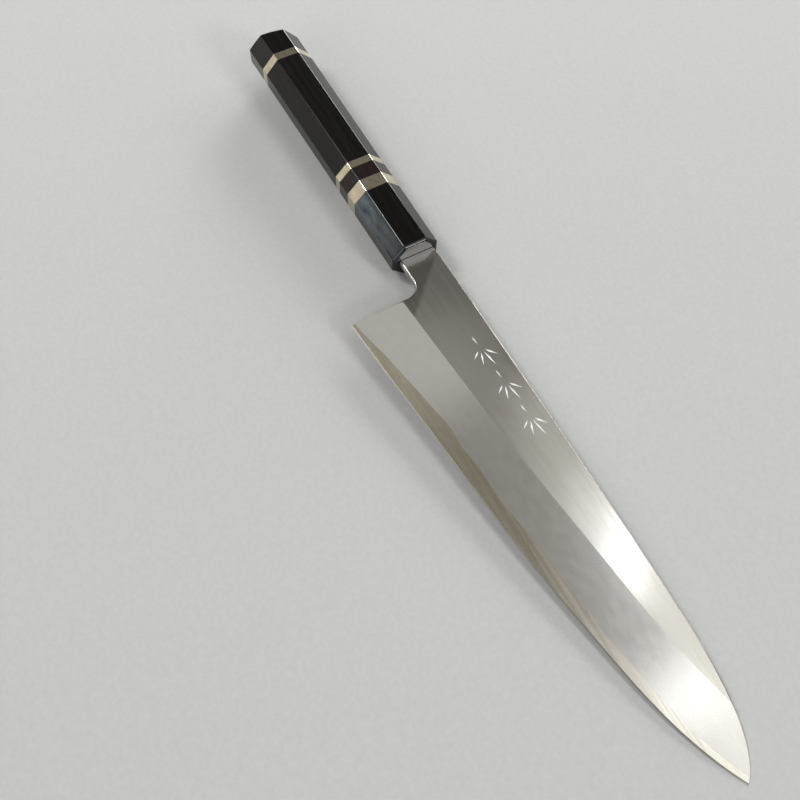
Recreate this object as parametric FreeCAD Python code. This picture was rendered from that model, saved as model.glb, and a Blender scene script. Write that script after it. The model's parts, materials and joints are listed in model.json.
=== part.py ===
import FreeCAD, Part
import os
from math import cos, degrees, radians, sin

from FreeCAD import Placement, Rotation, Vector

# A chef knife with an octagonal handle, lying on its left side.
#
# It is drawn with x = 0 on the neck just in front of the ferrule, +X towards the tip, +Y towards the
# spine and z = 0 in the middle of the blade's thickness, in millimetres. At the end it is laid down at
# rest, with the origin under the middle of its bounding box.

# The ferrule's front face, and the lengths of the handle's sections from there back to the butt.
FERRULE_FRONT_X = -1.4
FERRULE_LENGTH = 36.4
WIDE_RING_LENGTH = 6.8
ACCENT_BAND_LENGTH = 8.0
THIN_RING_LENGTH = 3.8
HANDLE_BODY_LENGTH = 74.4
BUTT_RING_LENGTH = 4.4
BUTT_CAP_LENGTH = 16.5

# Octagon at each end: half its height (Y), half its thickness (Z) and half the width of its top flat.
FRONT_OCTAGON = (11.3, 9.6, 5.45)
BUTT_OCTAGON = (12.6, 10.4, 5.8)
LONG_EDGE_RADIUS = 0.6
FERRULE_FRONT_RADIUS = 1.5

# The butt end is a shallow dome, highest a little below the handle's axis.
BUTT_DOME_RADIUS = 50.0
BUTT_DOME_CENTRE_Y = -5.5
BUTT_EDGE_RADIUS = 0.8

# Hidden dowels, and the film of glue around them.
GLUE_GAP = 0.05
CORE_DOWEL_RADIUS = 6.6
CORE_DOWEL_FRONT = -7.0
CORE_DOWEL_BACK = -118.0
BUTT_DOWEL_RADIUS = 4.0
BUTT_DOWEL_FRONT = -122.0
BUTT_DOWEL_BACK = -143.0

# Slot in the ferrule's front face around the neck, closed by the seal. Its corner radius is a share
# of half its width.
MOUTH_TOP = 9.2
MOUTH_CORNER_SHARE = 0.6
SEAL_WIDTH = 0.5
SEAL_STANDS_PROUD = 0.2

# Blade outline, seen from the right: neck, choil, heel and spine.
NECK_TOP = (-6.0, 9.1)
NECK_UNDERSIDE_Y = -7.9
CHOIL_RADIUS = 6.2
CHOIL_X = 16.8
HEEL = (17.5, -41.7)
SPINE_STRAIGHT_END = (26.0, 9.5)
SPINE_POINTS = [
    (80, 9.45), (130, 9.0), (165, 8.4), (190, 7.5), (208, 6.0), (220.5, 3.7), (232, -0.2), (239.2, -4.5),
]
SPINE_BEYOND_TIP = (244.0, -9.9)

# The edge, and the shinogi, the ridge between the flat upper face and the ground bevel: points x, y.
# Both run on a little past the heel and the tip.
EDGE_LINE = [
    (4, -42.8), (17.5, -41.7), (45, -39.6), (80, -36.4), (115, -33.4), (150, -29.6), (180, -25.2),
    (205, -20.9), (220, -17.0), (232, -12.6), (242, -7.8), (250, -3.0),
]
SHINOGI_LINE = [
    (4, -17.7), (45, -15.1), (80, -12.7), (115, -9.9), (150, -6.2), (180, -3.0), (205, 1.0),
    (220, 4.3), (250, 12.0),
]
BEVEL_START_X = 9.0
WEDGE_STEP = 12.3
WEDGE_STEPS = 20
WEDGE_HEIGHT = 80.0

# Half thicknesses of the blade. The flat upper face thins evenly towards the tip and the edge.
NECK_HALF = 1.7
TAPER_TO_TIP = 0.0050
TAPER_TO_EDGE = 0.0045
EDGE_HALF = 0.04
EDGE_BEVEL_HEIGHT = 0.6
EDGE_BEVEL_HALF = 0.15

# How far above the edge the core steel shows on the bevel, at each x.
CORE_SHOWS = [
    (5, 2.4), (28, 3.0), (38, 4.5), (50, 5.5), (60, 6.4), (70, 7.0), (79, 7.6), (88, 6.6), (98, 6.9),
    (112, 6.2), (121, 6.0), (128, 6.5), (142, 6.1), (160, 5.2), (180, 4.3), (196, 4.5), (215, 3.7),
    (232, 3.0), (248, 2.8),
]

# Tang, from just inside the ferrule to its end in the handle body.
TANG_ROOT_X = -6.0
TANG_ROOT_TOP = 6.0
TANG_ROOT_BOTTOM = -5.0
TANG_ROOT_HALF = 1.74
TANG_END_X = -110.0
TANG_END_TOP = 3.0
TANG_END_BOTTOM = -2.6
TANG_END_HALF = 1.1
TANG_SLOT_GAP = 0.2
CORE_HALF_AT_TANG_END = 0.35

# Sprays of bamboo leaves cut into the right face with a chisel, each behind a short stroke of stem.
SPRAYS = 3
FIRST_SPRAY = (53.0, 0.6)
SPRAY_PITCH = 18.5
SPRAY_RISE = 0.5
LEAVES = [(-52, 6.5), (-20, 9.5), (10, 11.5), (40, 7.5)]
LEAF_WIDTH = 1.1
LEAF_START = 1.6
STEM_LENGTH = 6.0
STEM_WIDTH = 0.7
STEM_GAP = 0.6
STEM_DROP = 0.4
STEM_ANGLE = 4.0
CUT_DEPTH = 0.18
CUT_STARTS_ABOVE = 0.045

SPINE_ROUNDING = 0.35
CHOIL_ROUNDING = 1.0

# Sizes that only have to be ample: cutting blocks, the overlap of a cutter past the face it cuts, and
# the thick block that the blade is ground from.
FAR = 300.0
OVERLAP = 1.0
BLOCK_THICKNESS = 10.0
BLOCK_BELOW_HEEL = 5.0

# The angle that the knife rests at is found in a few steps from this start.
FIRST_RESTING_ANGLE = 2.0
RESTING_STEPS = 4


# ---------------------------------------------------------------- shapes used throughout

def slab(x_back, x_front):
    """A block that keeps what lies between two stations along the knife."""
    return Part.makeBox(x_front - x_back, 2 * FAR, 2 * FAR, Vector(x_back, -FAR, -FAR))


def rod(x_back, x_front, radius):
    """A round bar along the handle's axis."""
    return Part.makeCylinder(radius, x_front - x_back, Vector(x_back, 0, 0), Vector(1, 0, 0))


def line(start, end):
    """A straight edge between two points in the blade's middle plane."""
    return Part.LineSegment(Vector(*start, 0), Vector(*end, 0)).toShape()


def outside_plane(point, normal):
    """A big block that fills the side of a plane that its normal points to."""
    block = Part.makeBox(2 * FAR, 2 * FAR, FAR, Vector(-FAR, -FAR, 0))
    block.Placement = Placement(Vector(*point), Rotation(Vector(0, 0, 1), Vector(*normal)))
    return block


def cut_both_sides(shape, cutter):
    """Cut the right side, and the left side in the same way."""
    return shape.cut(cutter).cut(cutter.mirror(Vector(0, 0, 0), Vector(0, 0, 1)))


# ---------------------------------------------------------------- handle

def handle_stations():
    """x of each boundary between handle sections, from the front face back to the butt."""
    lengths = [
        FERRULE_LENGTH, WIDE_RING_LENGTH, ACCENT_BAND_LENGTH, THIN_RING_LENGTH,
        HANDLE_BODY_LENGTH, BUTT_RING_LENGTH, BUTT_CAP_LENGTH,
    ]
    stations = [FERRULE_FRONT_X]
    for length in lengths:
        stations.append(stations[-1] - length)
    return stations


def flat_sided_solid(start, end):
    """A solid with flat sides between two end faces, each given by its corners in the same order."""
    outlines = [start, end[::-1]]
    for i in range(len(start)):
        outlines.append([start[i], start[i - 1], end[i - 1], end[i]])
    shell = Part.Shell([Part.Face(Part.makePolygon(corners + corners[:1])) for corners in outlines])
    shell.sewShape()
    solid = Part.Solid(shell)
    if solid.Volume < 0:
        solid.reverse()
    return solid.removeSplitter()


def octagon(x, half_height, half_thickness, half_flat):
    """Corners of the octagon at x. Its corners are cut at 45 degrees."""
    half_side = half_thickness - (half_height - half_flat)
    corners = [
        (half_flat, half_thickness), (half_height, half_side),
        (half_height, -half_side), (half_flat, -half_thickness),
        (-half_flat, -half_thickness), (-half_height, -half_side),
        (-half_height, half_side), (-half_flat, half_thickness),
    ]
    return [Vector(x, y, z) for y, z in corners]


def handle_form():
    """The whole handle as one tapered octagonal solid with a domed butt and rounded edges."""
    back = handle_stations()[-1]
    sharp = flat_sided_solid(octagon(FERRULE_FRONT_X, *FRONT_OCTAGON), octagon(back, *BUTT_OCTAGON))
    long_edges = [edge for edge in sharp.Edges if edge.BoundBox.XLength > 1]
    rounded_along = sharp.makeFillet(LONG_EDGE_RADIUS, long_edges)

    dome_centre = Vector(back + BUTT_DOME_RADIUS, BUTT_DOME_CENTRE_Y, 0)
    dome = Part.makeSphere(BUTT_DOME_RADIUS, dome_centre).fuse(slab(back + BUTT_DOME_RADIUS / 2, FAR))
    ends = sharp.common(dome)
    front_edges = [edge for edge in ends.Edges if edge.BoundBox.XMin > FERRULE_FRONT_X - OVERLAP]
    ends = ends.makeFillet(FERRULE_FRONT_RADIUS, front_edges)
    butt_edges = [edge for edge in ends.Edges if edge.BoundBox.XMax < back + BUTT_CAP_LENGTH / 2]
    ends = ends.makeFillet(BUTT_EDGE_RADIUS, butt_edges)
    return rounded_along.common(ends).removeSplitter()


def mouth_block(width_all_round, x_back, x_front):
    """A block around the neck where it enters the ferrule."""
    half = NECK_HALF + width_all_round
    bottom = NECK_UNDERSIDE_Y - width_all_round
    height = MOUTH_TOP + width_all_round - bottom
    block = Part.makeBox(x_front - x_back, height, 2 * half, Vector(x_back, bottom, -half))
    corners = [edge for edge in block.Edges if edge.BoundBox.XLength > 1]
    return block.makeFillet(half * MOUTH_CORNER_SHARE, corners)


def tang_slot():
    """The tapered slot in the core dowel, a little larger than the tang all round."""
    gap = TANG_SLOT_GAP
    sizes = [
        (TANG_ROOT_X + OVERLAP, TANG_ROOT_TOP + gap, TANG_ROOT_BOTTOM - gap, TANG_ROOT_HALF + gap),
        (TANG_END_X - gap, TANG_END_TOP + gap, TANG_END_BOTTOM - gap, TANG_END_HALF + gap),
    ]
    ends = []
    for x, top, bottom, half in sizes:
        corners = [(top, half), (bottom, half), (bottom, -half), (top, -half)]
        ends.append([Vector(x, y, z) for y, z in corners])
    return flat_sided_solid(*ends)


def handle_pieces():
    """The seven outer sections of the handle and the two dowels inside them."""
    names = [
        "ferrule", "wide_ring", "accent_band", "thin_ring", "handle_body", "butt_ring", "butt_cap",
    ]
    form = handle_form()
    bores = rod(CORE_DOWEL_BACK - GLUE_GAP, CORE_DOWEL_FRONT + GLUE_GAP, CORE_DOWEL_RADIUS + GLUE_GAP)
    bores = bores.fuse(rod(
        BUTT_DOWEL_BACK - GLUE_GAP, BUTT_DOWEL_FRONT + GLUE_GAP, BUTT_DOWEL_RADIUS + GLUE_GAP
    ))
    bores = bores.fuse(mouth_block(SEAL_WIDTH, CORE_DOWEL_FRONT - OVERLAP, OVERLAP))
    stations = handle_stations()
    pieces = {}
    for name, front, back in zip(names, stations, stations[1:]):
        pieces[name] = form.common(slab(back, front)).cut(bores)
    core_dowel = rod(CORE_DOWEL_BACK, CORE_DOWEL_FRONT, CORE_DOWEL_RADIUS)
    pieces["core_dowel"] = core_dowel.cut(tang_slot())
    pieces["butt_dowel"] = rod(BUTT_DOWEL_BACK, BUTT_DOWEL_FRONT, BUTT_DOWEL_RADIUS)
    return pieces


# ---------------------------------------------------------------- blade

def flat_half(x, y):
    """Half thickness of the blade's flat upper face."""
    return NECK_HALF - TAPER_TO_TIP * x - TAPER_TO_EDGE * (NECK_TOP[1] - y)


def curve_along(points):
    """A smooth curve through points in order of x, with x itself as its parameter."""
    curve = Part.BSplineCurve()
    curve.interpolate(Points=[Vector(*point) for point in points], Parameters=[point[0] for point in points])
    return curve


def height_reader(points):
    """A function that gives a line's height y at any x."""
    curve = curve_along([(x, y, 0) for x, y in points])
    return lambda x: curve.value(x).y


edge_height = height_reader(EDGE_LINE)
shinogi_height = height_reader(SHINOGI_LINE)


def bevel_half(x, above_edge):
    """Half thickness of the bevel at x, at a height above the edge."""
    shinogi = shinogi_height(x)
    rise = flat_half(x, shinogi) - EDGE_BEVEL_HALF
    slope = rise / (shinogi - edge_height(x) - EDGE_BEVEL_HEIGHT)
    return EDGE_BEVEL_HALF + slope * (above_edge - EDGE_BEVEL_HEIGHT)


def outline_block():
    """Blade, neck and tang as seen from the side, in a thick block that runs on below the edge."""
    below = HEEL[1] - BLOCK_BELOW_HEEL
    choil_start = (CHOIL_X - CHOIL_RADIUS, NECK_UNDERSIDE_Y)
    choil_end = (CHOIL_X, NECK_UNDERSIDE_Y - CHOIL_RADIUS)
    inset = CHOIL_RADIUS * (1 - cos(radians(45)))
    choil_middle = (CHOIL_X - inset, NECK_UNDERSIDE_Y - inset)
    choil = Part.Arc(*[Vector(x, y, 0) for x, y in (choil_start, choil_middle, choil_end)])
    spine = Part.BSplineCurve()
    spine_points = [SPINE_STRAIGHT_END] + SPINE_POINTS + [SPINE_BEYOND_TIP]
    spine.interpolate([Vector(x, y, 0) for x, y in spine_points])
    corners = [
        choil_start,
        (TANG_ROOT_X, NECK_UNDERSIDE_Y),
        (TANG_ROOT_X, TANG_ROOT_BOTTOM),
        (TANG_END_X, TANG_END_BOTTOM),
        (TANG_END_X, TANG_END_TOP),
        (TANG_ROOT_X, TANG_ROOT_TOP),
        NECK_TOP,
        SPINE_STRAIGHT_END,
    ]
    edges = [line(start, end) for start, end in zip(corners, corners[1:])]
    edges.append(spine.toShape())
    edges.append(line(SPINE_BEYOND_TIP, (SPINE_BEYOND_TIP[0], below)))
    edges.append(line((SPINE_BEYOND_TIP[0], below), (HEEL[0], below)))
    edges.append(line((HEEL[0], below), choil_end))
    edges.append(choil.toShape())
    block = Part.Face(Part.Wire(edges)).extrude(Vector(0, 0, BLOCK_THICKNESS))
    return block.translated(Vector(0, 0, -BLOCK_THICKNESS / 2))


def flat_sided_blade():
    """The blade before its bevels are ground: flat tapered sides and rounded back edges."""
    block = outline_block()
    block = cut_both_sides(
        block, outside_plane((0, NECK_TOP[1], NECK_HALF), (TAPER_TO_TIP, -TAPER_TO_EDGE, 1))
    )
    tang_taper = (TANG_ROOT_HALF - TANG_END_HALF) / (TANG_ROOT_X - TANG_END_X)
    block = cut_both_sides(
        block, outside_plane((TANG_ROOT_X, 0, TANG_ROOT_HALF), (-tang_taper, 0, 1))
    )

    def along_sides(shape, test):
        """Edges on the blade's flat sides, outside the handle, whose bounding box passes a test."""
        found = []
        for edge in shape.Edges:
            box = edge.BoundBox
            if box.ZLength < OVERLAP and box.XMax > 0 and test(box):
                found.append(edge)
        return found

    spine = along_sides(block, lambda box: box.YMax > SPINE_POINTS[1][1])
    block = block.makeFillet(SPINE_ROUNDING, spine)
    choil_bottom = NECK_UNDERSIDE_Y - CHOIL_RADIUS - OVERLAP
    choil = along_sides(
        block, lambda box: box.YMin > choil_bottom and box.YMax < 0 and box.XMax < CHOIL_X + OVERLAP
    )
    return block.makeFillet(CHOIL_ROUNDING, choil)


def wedge_curve(above_edge, half, side):
    """A curve along one side of the wedge, at a height above the edge; half gives its distance out."""
    first = EDGE_LINE[0][0]
    stations = [first + step * WEDGE_STEP for step in range(WEDGE_STEPS + 1)]
    points = [(x, edge_height(x) + above_edge, side * half(x)) for x in stations]
    return curve_along(points).toShape()


def wedge():
    """The solid between the two ground bevels, with the cutting edge along its foot."""
    rows = [
        (0, lambda x: EDGE_HALF),
        (EDGE_BEVEL_HEIGHT, lambda x: EDGE_BEVEL_HALF),
        (WEDGE_HEIGHT, lambda x: bevel_half(x, WEDGE_HEIGHT)),
    ]
    curves = [wedge_curve(height, half, 1) for height, half in rows]
    curves += [wedge_curve(height, half, -1) for height, half in reversed(rows)]
    faces = [Part.makeRuledSurface(a, b) for a, b in zip(curves, curves[1:] + curves[:1])]
    for end in (0, 1):
        corners = [curve.Vertexes[end].Point for curve in curves]
        faces.append(Part.Face(Part.makePolygon(corners + corners[:1])))
    shell = Part.Shell(faces)
    shell.sewShape()
    return Part.Solid(shell)


def core_layer():
    """A block that holds the core steel: its thickness wavers, as a forged layer's does."""
    curve = Part.BSplineCurve()
    curve.interpolate([Vector(x, 0, bevel_half(x, shows)) for x, shows in CORE_SHOWS])
    right = curve.toShape()
    left = right.mirror(Vector(0, 0, 0), Vector(0, 0, 1))
    front_x = CORE_SHOWS[-1][0]
    front_z = bevel_half(*CORE_SHOWS[-1])
    back_x = CORE_SHOWS[0][0]
    back_z = bevel_half(*CORE_SHOWS[0])
    ends = [
        Part.makePolygon([Vector(front_x, 0, front_z), Vector(front_x, 0, -front_z)]),
        Part.makePolygon([
            Vector(back_x, 0, -back_z), Vector(TANG_END_X - OVERLAP, 0, -CORE_HALF_AT_TANG_END),
            Vector(TANG_END_X - OVERLAP, 0, CORE_HALF_AT_TANG_END), Vector(back_x, 0, back_z),
        ]),
    ]
    edges = [right, left] + [edge for end in ends for edge in end.Edges]
    face = Part.Face(Part.Wire(Part.__sortEdges__(edges)))
    return face.extrude(Vector(0, 2 * FAR, 0)).translated(Vector(0, -FAR, 0))


def chisel_cut(x, y, length, width, angle):
    """A tapered cut in the right face: it starts at x, y, and is deepest a third of the way along."""
    along = Vector(cos(radians(angle)), sin(radians(angle)), 0)
    across = Vector(-along.y, along.x, 0)
    surface = Vector(x, y, flat_half(x, y))
    widest = surface + along * (length / 3)
    above = Vector(0, 0, CUT_STARTS_ABOVE)
    rim = [
        surface + above, widest + across * (width / 2) + above,
        surface + along * length + above, widest - across * (width / 2) + above,
    ]
    deepest = widest - Vector(0, 0, CUT_DEPTH)
    faces = [Part.Face(Part.makePolygon(rim + rim[:1]))]
    for start, end in zip(rim, rim[1:] + rim[:1]):
        faces.append(Part.Face(Part.makePolygon([start, end, deepest, start])))
    return Part.Solid(Part.Shell(faces))


def leaf_sprays():
    """The chisel cuts of all the sprays: their leaves fan out towards the tip."""
    cuts = []
    for spray in range(SPRAYS):
        x = FIRST_SPRAY[0] + spray * SPRAY_PITCH
        y = FIRST_SPRAY[1] + spray * SPRAY_RISE
        stem_x = x - STEM_GAP - STEM_LENGTH
        cuts.append(chisel_cut(stem_x, y - STEM_DROP, STEM_LENGTH, STEM_WIDTH, STEM_ANGLE))
        for angle, length in LEAVES:
            start_x = x + LEAF_START * cos(radians(angle))
            start_y = y + LEAF_START * sin(radians(angle))
            cuts.append(chisel_cut(start_x, start_y, length, LEAF_WIDTH, angle))
    return cuts


def blade_pieces():
    """The three layers of the blade, each running on into the neck and tang."""
    blade = flat_sided_blade()
    ground = blade.common(slab(BEVEL_START_X, FAR)).common(wedge())
    blade = ground.fuse(blade.common(slab(-FAR, BEVEL_START_X)))
    core = core_layer()
    sides = sorted(blade.cut(core).Solids, key=lambda solid: solid.CenterOfMass.z)
    right = sides[-1]
    for cut in leaf_sprays():
        right = right.cut(cut)
    return {
        "blade_core_steel": blade.common(core),
        "blade_cladding_left": sides[0],
        "blade_cladding_right": right,
    }


def tang_seal(blade_layers):
    """Resin that fills the ferrule's mouth around the neck."""
    seal = mouth_block(SEAL_WIDTH, TANG_ROOT_X, FERRULE_FRONT_X + SEAL_STANDS_PROUD)
    for layer in blade_layers:
        seal = seal.cut(layer)
    return seal


# ---------------------------------------------------------------- laying the knife down

def turned(shape, angle):
    """The shape turned about the Y axis, which lowers the tip."""
    return shape.rotated(Vector(0, 0, 0), Vector(0, 1, 0), angle)


def lowest(shape):
    return shape.optimalBoundingBox(False, False).ZMin


def resting_angle(blade, ferrule):
    """The angle at which the ferrule's lower front edge and the tip are level."""
    angle = FIRST_RESTING_ANGLE
    reach = SPINE_POINTS[-1][0]
    for _ in range(RESTING_STEPS):
        gap = lowest(turned(blade, angle)) - lowest(turned(ferrule, angle))
        angle += degrees(gap / reach)
    return angle


def main():
    pieces = handle_pieces()
    layers = blade_pieces()
    pieces["tang_seal"] = tang_seal(layers.values())
    pieces.update(layers)

    angle = resting_angle(pieces["blade_cladding_left"], pieces["ferrule"])
    laid = {name: turned(shape, angle).Solids[0] for name, shape in pieces.items()}
    box = Part.Compound(list(laid.values())).optimalBoundingBox(False, False)
    origin = Vector(box.Center.x, box.Center.y, box.ZMin)
    print("resting angle", round(angle, 4), "drawn origin moves by", -origin)

    os.makedirs("parts", exist_ok=True)
    for name, shape in laid.items():
        shape.translated(-origin).exportStep("parts/" + name + ".step")


main()
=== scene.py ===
import json
import math

import bpy
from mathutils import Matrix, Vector


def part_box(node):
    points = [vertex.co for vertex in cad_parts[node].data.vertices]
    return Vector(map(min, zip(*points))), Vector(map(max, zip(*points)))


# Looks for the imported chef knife: procedural finishes on its CAD nodes, a pale floor, soft lights and
# a camera. Every size is in metres, except that finishes are drawn on the knife in millimetres.

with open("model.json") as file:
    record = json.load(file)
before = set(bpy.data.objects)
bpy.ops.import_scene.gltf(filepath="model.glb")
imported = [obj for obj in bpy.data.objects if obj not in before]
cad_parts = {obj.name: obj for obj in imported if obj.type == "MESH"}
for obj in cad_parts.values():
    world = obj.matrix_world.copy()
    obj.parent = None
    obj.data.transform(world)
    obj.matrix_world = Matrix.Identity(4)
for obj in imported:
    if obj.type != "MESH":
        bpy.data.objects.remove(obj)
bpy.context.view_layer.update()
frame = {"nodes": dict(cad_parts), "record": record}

# ---------------------------------------------------------------- named values

# The mouth is the place on the knife's axis just in front of the ferrule; the core dowel's middle lies
# this far behind it.
DOWEL_MIDDLE_TO_MOUTH = 0.0625
MILLIMETRE = 0.001
EDGE_SAMPLES = 16

CAMERA_PLACE = (0.184347, -0.116895, 0.339092)
CAMERA_TURN = (30.2933, 0.3268, 61.4453)
CAMERA_LENS = 42.51
CAMERA_SENSOR = 36.0
CAMERA_NEAREST = 0.01

FLOOR_SIZE = 12.0
FLOOR_DARK = (0.50, 0.50, 0.495)
FLOOR_LIGHT = (0.535, 0.535, 0.525)
WORLD_COLOUR = (0.165, 0.158, 0.146)

WARM = (1.0, 0.955, 0.875)
CREAM = (1.0, 0.99, 0.92)
WHITE = (0.99, 0.995, 1.0)

# Soft panels on the ceiling, facing down: name, middle x and y, length, width, turn in degrees,
# brightness, colour. Each hangs a little above the one before it, so that where they overlap both count.
CEILING_HEIGHT = 3.7
PANEL_SPACING = 0.01
PANELS = [
    ("panel_strip_flat", (-0.37, 1.45), (0.50, 0.18), -50.0, 3.0, WHITE),
    ("panel_strip_bevel", (0.27, 1.13), (0.42, 0.19), 87.0, 2.3, WHITE),
    ("panel_tip", (0.59, 1.60), (1.6, 0.97), -19.4, 1.00, CREAM),
    ("panel_far", (0.75, 1.50), (0.9, 1.00), -19.4, 0.12, WHITE),
    ("panel_end", (0.66, 1.16), (0.5, 0.30), -19.4, 0.20, WHITE),
    ("panel_ramp", (0.26, 0.97), (0.95, 0.28), -19.4, 0.30, WHITE),
    ("panel_shoulder", (-0.55, 1.42), (0.60, 0.26), -45.0, 0.55, WHITE),
    ("panel_before", (-0.92, 1.52), (0.8, 0.42), -19.4, 0.53, CREAM),
    ("panel_fade", (-0.45, 0.80), (3.0, 0.62), -19.4, 0.17, WARM),
    ("panel_heel", (-1.97, 0.64), (1.3, 0.68), 12.0, 0.47, CREAM),
]

# Soft lights beside the knife: name, how far along the knife from its mouth it points, direction to it,
# distance, width, height, brightness, colour.
LIGHTS = [
    ("side_light", -0.075, (-0.64, -0.70, 0.33), 1.6, 0.9, 0.5, 0.62, WARM),
    ("left_edge_light", 0.0, (-0.50, -0.42, 0.757), 1.6, 0.45, 0.45, 18.0, WHITE),
    ("right_edge_light", -0.075, (-0.69, 0.669, 0.277), 1.6, 0.7, 0.5, 18.0, WHITE),
    ("front_light", 0.0, (0.543, 0.311, 0.78), 1.6, 0.5, 0.5, 4.0, WHITE),
    ("spine_light", 0.115, (-0.22, 0.89, 0.37), 1.6, 1.0, 0.3, 6.0, WHITE),
    ("rim_light", 0.0, (0.82, 0.32, 0.47), 1.6, 0.25, 0.25, 30.0, WHITE),
    ("floor_light", -0.075, (0.45, -0.76, 0.47), 2.4, 1.2, 1.2, 3.0, WHITE),
]

# The line along which the neck's darker tone ends, partly its own finish and partly painted shade: from the
# spine to the ridge, x and y in mm.
NECK_FINISH_AND_SHADE_TOP = (1.4, 9.3)
NECK_FINISH_AND_SHADE_FOOT = (27.0, -16.5)
NECK_FINISH_AND_SHADE_SOFTNESS = 0.9

# The part of the blade that the chiselled leaves lie in, in mm: x from and to, y from and to, and how
# far inside those the bright cut finish, partly a painted glint, is full.
LEAVES_X = (40.0, 120.0)
LEAVES_Y = (-9.6, 8.8)
LEAVES_FADE_X = 1.0
LEAVES_FADE_Y = 0.1

# How surfaces are told apart, by the y part of the direction that they face or by the size of its z
# part: where the change from one surface to the other starts and ends.
FLAT_TO_BEVEL_Y = (-0.014, -0.022)
STEEP_TO_BEVEL_Z = (0.990, 0.994)
FLAT_TO_GROOVE_Z = (0.9975, 0.9955)
UPRIGHT_TO_GROOVE_Z = (0.30, 0.35)
BEVEL_TO_HEEL_Y = (-0.2, -0.4)
BEVEL_TO_EDGE_Y = (-0.09, -0.12)
HEEL_TO_EDGE_Y = (-0.5, -0.4)

# Depth of the whetstone lines on the blade, in mm.
WHETSTONE_DEPTH = 0.00005

# The stain on the core steel clears over this stretch towards the tip, x in mm.
STAIN_CLEARS = (135.0, 205.0)

# The horn's lighter blue-grey painted reflection, mottled like marbling, in mm: it comes in towards the edge
# and towards the right face, grows from its share at the mouth to full further back, and stops short of the
# butt cap.
PAINTED_REFLECTION_Y = (-5.0, -7.0)
PAINTED_REFLECTION_Z = (1.5, 3.5)
PAINTED_REFLECTION_GROWS = (-2.0, -24.0)
PAINTED_REFLECTION_AT_MOUTH = 0.35
PAINTED_REFLECTION_STOPS = (-60.0, -45.0)


def middle(node):
    """The middle of a node's box at rest."""
    low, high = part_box(node)
    return (low + high) / 2


# The knife's own frame: x from the mouth towards the tip, y towards the spine, z through the blade.
dowel_middle = middle("core_dowel")
along = (dowel_middle - middle("butt_dowel")).normalized()
mouth = dowel_middle + along * DOWEL_MIDDLE_TO_MOUTH
tilt = math.atan2(-along.z, along.x)


# ---------------------------------------------------------------- material graph helper

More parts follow.
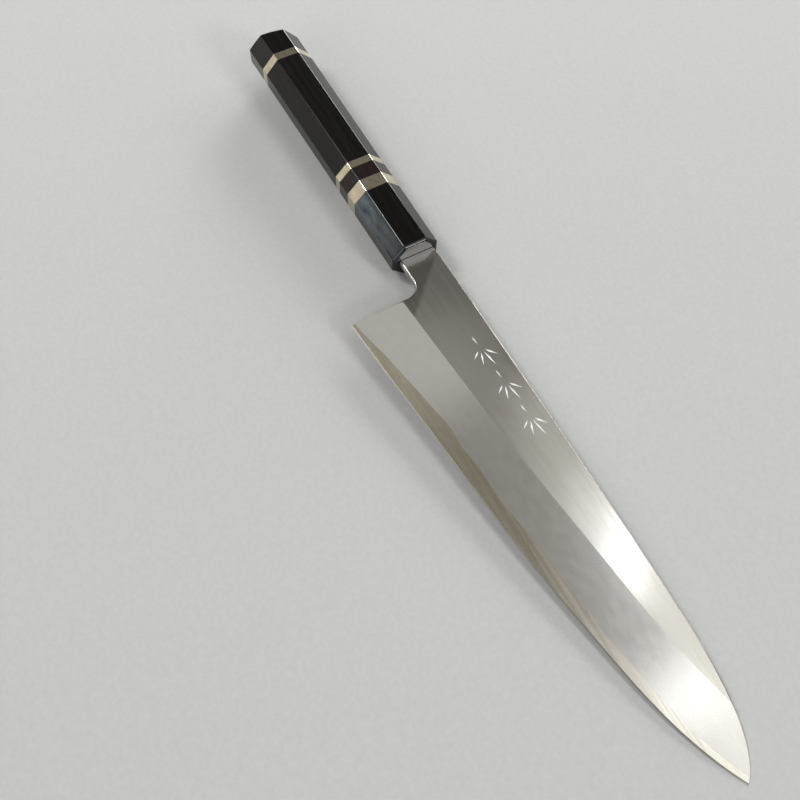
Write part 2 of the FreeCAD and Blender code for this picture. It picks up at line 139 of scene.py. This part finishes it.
class Finish:
    """One procedural material, drawn in the knife's own frame in millimetres."""

    def __init__(self, name):
        self.material = bpy.data.materials.new(name)
        self.material.use_nodes = True
        self.tree = self.material.node_tree
        self.tree.nodes.clear()
        output = self.add("ShaderNodeOutputMaterial")
        self.shader = self.add("ShaderNodeBsdfPrincipled")
        self.tree.links.new(self.shader.outputs["BSDF"], output.inputs["Surface"])
        place = self.add("ShaderNodeTexCoord")
        knife = self.add("ShaderNodeMapping")
        knife.vector_type = "TEXTURE"
        knife.inputs["Location"].default_value = mouth
        knife.inputs["Rotation"].default_value = (0.0, tilt, 0.0)
        knife.inputs["Scale"].default_value = (MILLIMETRE,) * 3
        self.tree.links.new(place.outputs["Object"], knife.inputs["Vector"])
        self.place = knife.outputs["Vector"]
        axes = self.add("ShaderNodeSeparateXYZ")
        self.feed(axes.inputs[0], self.place)
        self.x, self.y, self.z = axes.outputs

    def add(self, kind):
        return self.tree.nodes.new(kind)

    def feed(self, socket, value):
        """Link another node's output, or set a plain value."""
        if isinstance(value, bpy.types.NodeSocket):
            self.tree.links.new(value, socket)
        elif isinstance(value, (tuple, list)) and len(value) == 3 and socket.type == "RGBA":
            socket.default_value = (*value, 1.0)
        else:
            socket.default_value = value

    def set(self, **values):
        """Feed the main shader's inputs: base_color= feeds "Base Color"."""
        titles = {key.lower().replace(" ", "_"): key for key in self.shader.inputs.keys()}
        for key, value in values.items():
            self.feed(self.shader.inputs[titles[key]], value)

    def noise(self, stretch, detail=4.0, roughness=0.55, distortion=0.0, offset=(0, 0, 0)):
        """Noise from 0 to 1; stretch is the size in mm of one blob along x, y and z."""
        mapping = self.add("ShaderNodeMapping")
        mapping.inputs["Scale"].default_value = [1 / size for size in stretch]
        mapping.inputs["Location"].default_value = offset
        self.feed(mapping.inputs["Vector"], self.place)
        noise = self.add("ShaderNodeTexNoise")
        noise.inputs["Scale"].default_value = 1.0
        noise.inputs["Detail"].default_value = detail
        noise.inputs["Roughness"].default_value = roughness
        noise.inputs["Distortion"].default_value = distortion
        self.feed(noise.inputs["Vector"], mapping.outputs["Vector"])
        return noise.outputs["Fac"]

    def spread(self, value, low, high, to_low=0.0, to_high=1.0):
        """Stretch a value's range low to high onto another range, and hold it there outside."""
        node = self.add("ShaderNodeMapRange")
        node.clamp = True
        self.feed(node.inputs["Value"], value)
        node.inputs["From Min"].default_value = low
        node.inputs["From Max"].default_value = high
        node.inputs["To Min"].default_value = to_low
        node.inputs["To Max"].default_value = to_high
        return node.outputs["Result"]

    def math(self, operation, a, b=0.0):
        node = self.add("ShaderNodeMath")
        node.operation = operation
        self.feed(node.inputs[0], a)
        self.feed(node.inputs[1], b)
        return node.outputs[0]

    def blend(self, share, first, second):
        """A colour between first, at share 0, and second, at share 1."""
        node = self.add("ShaderNodeMix")
        node.data_type = "RGBA"
        self.feed(node.inputs["Factor"], share)
        self.feed(node.inputs[6], first)
        self.feed(node.inputs[7], second)
        return node.outputs[2]

    def between(self, share, first, second):
        """A number between first, at share 0, and second, at share 1."""
        node = self.add("ShaderNodeMix")
        node.data_type = "FLOAT"
        self.feed(node.inputs["Factor"], share)
        self.feed(node.inputs[2], first)
        self.feed(node.inputs[3], second)
        return node.outputs[0]

    def facing(self):
        """x, y and z of the true direction that the surface faces."""
        geometry = self.add("ShaderNodeNewGeometry")
        axes = self.add("ShaderNodeSeparateXYZ")
        self.feed(axes.inputs[0], geometry.outputs["True Normal"])
        return axes.outputs

    def bump(self, height, depth_mm, edge_mm=0.0):
        """Raise and lower the surface by a height from 0 to 1, over a depth in mm, and soften its edges."""
        node = self.add("ShaderNodeBump")
        node.inputs["Distance"].default_value = depth_mm * MILLIMETRE
        if edge_mm:
            softened = self.add("ShaderNodeBevel")
            softened.samples = EDGE_SAMPLES
            softened.inputs["Radius"].default_value = edge_mm * MILLIMETRE
            self.feed(node.inputs["Normal"], softened.outputs["Normal"])
        self.feed(node.inputs["Height"], height)
        self.feed(self.shader.inputs["Normal"], node.outputs["Normal"])


# ---------------------------------------------------------------- finishes

def brushed_blade(finish, rough_low, rough_high):
    """Fine whetstone lines along the blade: returns the roughness and the lines, and feeds the bump."""
    fine = finish.noise((60.0, 0.6, 9.0), detail=0.0)
    broad = finish.noise((90.0, 1.4, 9.0), detail=0.0, offset=(3, 1, 0))
    finish.bump(broad, WHETSTONE_DEPTH)
    lines = finish.math("ADD", finish.math("MULTIPLY", fine, 0.6), finish.math("MULTIPLY", broad, 0.4))
    return finish.spread(broad, 0.3, 0.7, rough_low, rough_high), lines


def on_neck_finish_and_shade(finish):
    """1 on the neck's darker tone, partly its own finish and partly painted shade, 0 on the flat face in front
    of it.
    """
    run = Vector(NECK_FINISH_AND_SHADE_FOOT) - Vector(NECK_FINISH_AND_SHADE_TOP)
    across = Vector((-run.y, run.x)).normalized()
    along_x = finish.math("MULTIPLY", finish.x, across.x)
    along_y = finish.math("MULTIPLY", finish.y, across.y)
    past = finish.math("ADD", along_x, along_y)
    past = finish.math("SUBTRACT", past, across.dot(Vector(NECK_FINISH_AND_SHADE_TOP)))
    return finish.spread(past, -NECK_FINISH_AND_SHADE_SOFTNESS, NECK_FINISH_AND_SHADE_SOFTNESS, 1.0, 0.0)


def in_groove(finish, normal_z):
    """1 on the walls of the chiselled leaves, 0 elsewhere."""
    limits = [
        finish.spread(normal_z, *FLAT_TO_GROOVE_Z),
        finish.spread(normal_z, *UPRIGHT_TO_GROOVE_Z),
        finish.spread(finish.x, LEAVES_X[0], LEAVES_X[0] + LEAVES_FADE_X),
        finish.spread(finish.x, LEAVES_X[1], LEAVES_X[1] - LEAVES_FADE_X),
        finish.spread(finish.y, LEAVES_Y[0], LEAVES_Y[0] + LEAVES_FADE_Y),
        finish.spread(finish.y, LEAVES_Y[1], LEAVES_Y[1] - LEAVES_FADE_Y),
    ]
    share = limits[0]
    for limit in limits[1:]:
        share = finish.math("MULTIPLY", share, limit)
    return share


def cladding_finish():
    """Satin flat faces, misty bevels, a darker neck, partly its own finish and partly painted shade, with a
    painted reflection by the mouth, and bright fresh-cut leaves whose pale colour is partly a painted glint.
    """
    finish = Finish("cladding_iron")
    _, normal_y, normal_z = finish.facing()
    normal_z = finish.math("ABSOLUTE", normal_z)
    on_bevel = finish.math(
        "MULTIPLY",
        finish.spread(normal_y, *FLAT_TO_BEVEL_Y),
        finish.spread(normal_z, *STEEP_TO_BEVEL_Z),
    )
    groove = in_groove(finish, normal_z)
    rough, lines = brushed_blade(finish, 0.12, 0.15)
    # the heel and the neck's underside are only filed
    rough = finish.between(finish.spread(normal_y, *BEVEL_TO_HEEL_Y), rough, 0.45)
    clouds = finish.noise((22.0, 7.0, 7.0), detail=5.0, distortion=0.6)
    mist = finish.noise((6.0, 3.0, 3.0), detail=3.0)

    flat = finish.blend(finish.spread(clouds, 0.3, 0.7), (0.59, 0.575, 0.55), (0.64, 0.63, 0.61))
    flat = finish.blend(finish.spread(lines, 0.35, 0.7, 0.0, 0.25), flat, (0.68, 0.67, 0.65))
    # painted reflection and shade on the neck: pale just behind the mouth, darkening over a few mm to a tone
    # that is partly the neck's own finish and partly painted shade
    neck = finish.blend(finish.spread(finish.x, 1.0, 5.0), (0.70, 0.68, 0.64), (0.40, 0.385, 0.36))
    flat = finish.blend(on_neck_finish_and_shade(finish), flat, neck)
    misty = finish.blend(finish.spread(mist, 0.35, 0.65), (0.65, 0.645, 0.635), (0.69, 0.68, 0.66))
    rough = finish.between(on_bevel, rough, finish.spread(mist, 0.3, 0.7, 0.155, 0.17))

    # the leaves' cut walls are pale and only a little metallic: a fresh-cut finish, and partly a painted glint
    # that keeps them bright from every side
    finish.set(
        base_color=finish.blend(groove, finish.blend(on_bevel, flat, misty), (0.78, 0.78, 0.77)),
        metallic=finish.between(groove, 1.0, 0.25),
        roughness=finish.between(groove, rough, 0.55),
    )
    return finish.material


def core_finish():
    """Brownish hard steel, with the small bright bevel along the edge."""
    finish = Finish("core_steel")
    normal_y = finish.facing()[1]
    on_edge = finish.math(
        "MULTIPLY",
        finish.spread(normal_y, *BEVEL_TO_EDGE_Y),
        finish.spread(normal_y, *HEEL_TO_EDGE_Y),
    )
    rough, lines = brushed_blade(finish, 0.16, 0.24)
    stain = finish.noise((9.0, 2.2, 2.2), detail=6.0, roughness=0.65, distortion=0.5)
    steel = finish.blend(finish.spread(stain, 0.3, 0.7), (0.47, 0.43, 0.35), (0.56, 0.52, 0.435))
    steel = finish.blend(finish.spread(lines, 0.4, 0.75, 0.0, 0.3), steel, (0.62, 0.58, 0.50))
    steel = finish.blend(finish.spread(finish.x, *STAIN_CLEARS), steel, (0.81, 0.785, 0.725))
    finish.set(
        base_color=finish.blend(on_edge, steel, (0.50, 0.47, 0.41)),
        metallic=1.0,
        roughness=finish.between(on_edge, rough, 0.35),
    )
    return finish.material


def horn_finish():
    """Polished black horn, with a lighter blue-grey painted reflection, mottled like marbling, on one facet of
    the ferrule.
    """
    finish = Finish("horn")
    streaks = finish.noise((38.0, 2.4, 2.4), detail=5.0, roughness=0.6, distortion=0.8)
    mottle = finish.noise((2.6, 1.3, 1.3), detail=5.0, roughness=0.7, offset=(7, 2, 5))
    clouds = finish.noise((9.0, 2.6, 2.6), detail=4.0, distortion=0.6, offset=(2, 6, 1))
    polish = finish.noise((12.0, 0.25, 0.25), detail=3.0)
    dark = finish.blend(finish.spread(streaks, 0.45, 0.75), (0.0015, 0.0015, 0.0016), (0.007, 0.006, 0.005))
    # painted reflection: lighter blue-grey mottling on the lower side of the horn's right face
    reflecting_side = finish.math("MULTIPLY", finish.spread(finish.y, *PAINTED_REFLECTION_Y), finish.spread(finish.z, *PAINTED_REFLECTION_Z))
    painted_reflection = finish.math("MULTIPLY", reflecting_side, finish.spread(clouds, 0.34, 0.64, 0.30, 0.95))
    reflection_fading = finish.spread(finish.x, *PAINTED_REFLECTION_GROWS, PAINTED_REFLECTION_AT_MOUTH, 1.0)
    reflection_fading = finish.math("MULTIPLY", reflection_fading, finish.spread(finish.x, *PAINTED_REFLECTION_STOPS))
    painted_reflection = finish.math("MULTIPLY", painted_reflection, reflection_fading)
    finish.set(
        base_color=finish.blend(painted_reflection, dark, (0.105, 0.130, 0.145)),
        specular_ior_level=0.34,
        roughness=finish.spread(mottle, 0.3, 0.7, 0.09, 0.17),
        coat_weight=0.10,
        coat_roughness=0.06,
    )
    finish.bump(finish.math("ADD", mottle, finish.math("MULTIPLY", polish, 0.3)), 0.003, edge_mm=0.7)
    return finish.material


def nickel_finish():
    """Warm white metal with fine turned lines and a little tarnish."""
    finish = Finish("nickel_silver")
    turning = finish.noise((0.09, 9.0, 9.0), detail=3.0)
    tarnish = finish.noise((4.0, 3.0, 3.0), detail=5.0, roughness=0.6)
    metal = finish.blend(finish.spread(tarnish, 0.32, 0.66), (0.73, 0.675, 0.53), (0.55, 0.50, 0.375))
    finish.set(
        base_color=finish.blend(finish.spread(turning, 0.4, 0.7, 0.0, 0.3), metal, (0.75, 0.70, 0.57)),
        metallic=1.0,
        roughness=finish.spread(turning, 0.3, 0.7, 0.17, 0.23),
    )
    finish.bump(turning, 0.0008)
    return finish.material


def wood_finish(name, dark, light, pore, rough_low, rough_high, depth):
    """Fine straight grain along the handle, with short dark pores."""
    finish = Finish(name)
    grain = finish.noise((46.0, 1.1, 1.1), detail=6.0, roughness=0.62, distortion=0.35)
    pores = finish.noise((5.0, 0.16, 0.16), detail=2.0, offset=(1, 4, 2))
    bands = finish.noise((80.0, 4.0, 4.0), detail=3.0, distortion=1.0, offset=(0, 9, 3))
    colour = finish.blend(finish.spread(grain, 0.38, 0.68), dark, light)
    colour = finish.blend(finish.spread(bands, 0.4, 0.65, 0.0, 0.6), colour, dark)
    is_pore = finish.spread(pores, 0.60, 0.68)
    finish.set(
        base_color=finish.blend(is_pore, colour, pore),
        roughness=finish.spread(grain, 0.3, 0.7, rough_low, rough_high),
    )
    finish.bump(finish.math("SUBTRACT", finish.math("MULTIPLY", grain, 0.4), is_pore), depth)
    return finish


def ebony_finish():
    """Near-black oiled wood."""
    finish = wood_finish("ebony", (0.0015, 0.0014, 0.0013), (0.009, 0.0075, 0.006), (0.001, 0.001, 0.001),
                         0.17, 0.23, 0.002)
    finish.set(specular_ior_level=0.32)
    return finish.material


def rosewood_finish():
    """Dark reddish-brown oiled wood."""
    finish = wood_finish("rosewood", (0.007, 0.0035, 0.003), (0.024, 0.010, 0.0085), (0.003, 0.002, 0.002),
                         0.18, 0.25, 0.004)
    finish.set(specular_ior_level=0.4)
    return finish.material


def dowel_finish():
    """Plain pale hardwood, hidden inside the handle."""
    return wood_finish("dowel_wood", (0.50, 0.36, 0.22), (0.66, 0.52, 0.36), (0.30, 0.20, 0.12),
                       0.5, 0.7, 0.02).material


def seal_and_gap_shade_finish():
    """Smooth dark resin around the neck, kept near black also as painted shade in the gap at the mouth."""
    finish = Finish("seal_resin")
    ripple = finish.noise((0.8, 0.8, 0.8), detail=4.0)
    # near-black resin, standing in also for the painted shade in the gap between neck and ferrule
    resin = finish.blend(finish.spread(ripple, 0.35, 0.7), (0.020, 0.018, 0.016), (0.040, 0.036, 0.032))
    finish.set(
        base_color=resin,
        roughness=finish.spread(ripple, 0.3, 0.7, 0.16, 0.28),
    )
    finish.bump(ripple, 0.02)
    return finish.material


finishes = {
    "core_steel": core_finish(),
    "cladding_iron": cladding_finish(),
    "seal_resin": seal_and_gap_shade_finish(),
    "horn": horn_finish(),
    "nickel_silver": nickel_finish(),
    "rosewood": rosewood_finish(),
    "ebony": ebony_finish(),
    "dowel_wood": dowel_finish(),
}
for subpart in frame["record"]["subparts"]:
    node = frame["nodes"][subpart["node"]]
    for slot in node.material_slots:
        slot.material = finishes[subpart["material_slot"]]


# ---------------------------------------------------------------- floor, lights, camera

bpy.ops.mesh.primitive_plane_add(size=FLOOR_SIZE, location=(0.0, 0.0, 0.0))
floor = bpy.context.object
floor.name = "floor"
paper = Finish("floor_paper")
specks = paper.noise((2.0, 2.0, 2.0), detail=4.0)
paper.set(
    base_color=paper.blend(paper.spread(specks, 0.3, 0.7), FLOOR_DARK, FLOOR_LIGHT),
    roughness=paper.spread(specks, 0.3, 0.7, 0.8, 0.95),
    specular_ior_level=0.2,
)
paper.bump(specks, 0.01)
floor.data.materials.append(paper.material)

world = bpy.data.worlds.new("studio")
bpy.context.scene.world = world
world.use_nodes = True
background = world.node_tree.nodes["Background"]
background.inputs["Color"].default_value = (*WORLD_COLOUR, 1.0)


def soft_light(name, place, turn, size, brightness, colour):
    """A rectangular soft light whose surface is as bright as a white sheet times the brightness."""
    lamp = bpy.data.lights.new(name, "AREA")
    lamp.shape = "RECTANGLE"
    lamp.size, lamp.size_y = size
    lamp.energy = brightness * math.pi * size[0] * size[1]
    lamp.color = colour
    holder = bpy.data.objects.new(name, lamp)
    holder.location = place
    holder.rotation_euler = turn
    bpy.context.scene.collection.objects.link(holder)


for index, (name, (x, y), size, turn, brightness, colour) in enumerate(PANELS):
    place = (x, y, CEILING_HEIGHT + index * PANEL_SPACING)
    soft_light(name, place, (0.0, 0.0, math.radians(turn)), size, brightness, colour)
for name, ahead, direction, distance, width, height, brightness, colour in LIGHTS:
    towards = Vector(direction).normalized()
    place = mouth + along * ahead + towards * distance
    turn = towards.to_track_quat("Z", "Y").to_euler()
    soft_light(name, place, turn, (width, height), brightness, colour)

camera_data = bpy.data.cameras.new("camera")
camera_data.lens = CAMERA_LENS
camera_data.sensor_width = CAMERA_SENSOR
camera_data.clip_start = CAMERA_NEAREST
camera = bpy.data.objects.new("camera", camera_data)
camera.location = CAMERA_PLACE
camera.rotation_euler = [math.radians(angle) for angle in CAMERA_TURN]
bpy.context.scene.collection.objects.link(camera)
bpy.context.scene.camera = camera
bpy.context.scene.view_settings.view_transform = "Standard"
